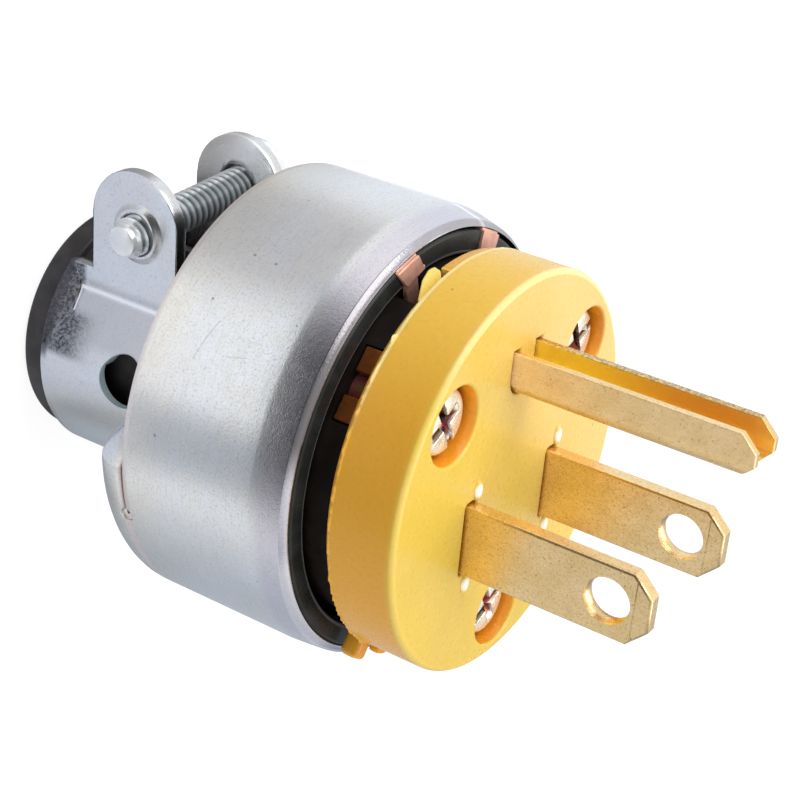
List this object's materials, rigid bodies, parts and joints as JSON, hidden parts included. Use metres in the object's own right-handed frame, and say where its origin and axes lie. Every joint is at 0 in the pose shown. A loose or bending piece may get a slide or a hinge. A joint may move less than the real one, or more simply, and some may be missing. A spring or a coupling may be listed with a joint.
{
  "type": "armoured power plug",
  "caption": "Round grounded power plug with a plated sheet-steel shell, a yellow insulating face with brass prongs, and a screw clamp for the cord.",
  "frame": {"origin": "on the shell's axis at the end face of the cord bushing, on which the plug stands", "axes": "+Z along the shell's axis from the cord end to the prongs, +Y towards the cord clamp and the ground prong, +X from the neutral blade to the line blade"},
  "size_m": [0.0392, 0.0392, 0.0656],
  "materials": {
    "zinc_steel": "satin zinc plating with fine speckle",
    "screw_steel": "bright zinc plating",
    "chromate_steel": "iridescent yellow plating",
    "yellow_plastic": "moulded, softly glossy",
    "black_plastic": "moulded, softly glossy",
    "black_rubber": "satin",
    "prong_brass": "rolled, satin with fine speckle",
    "terminal_brass": "bright stamped",
    "copper": "dull bare copper"
  },
  "bodies": {
    "root": {"armor_shell": "zinc_steel", "insulating_liner": "black_plastic", "terminal_housing": "black_plastic", "cord_bushing": "black_rubber", "clamp_screw": "screw_steel", "front_face": "yellow_plastic", "face_screw_left": "chromate_steel", "face_screw_right": "chromate_steel", "face_screw_bottom": "chromate_steel", "screw_clip_left": "terminal_brass", "screw_clip_right": "terminal_brass", "screw_clip_bottom": "terminal_brass", "neutral_blade": "prong_brass", "line_blade": "prong_brass", "ground_prong": "prong_brass", "ground_strap": "copper", "neutral_clamp": "terminal_brass", "line_clamp": "terminal_brass", "ground_clamp": "terminal_brass", "neutral_screw": "terminal_brass", "line_screw": "terminal_brass", "ground_screw": "terminal_brass"}
  },
  "joints": []
}
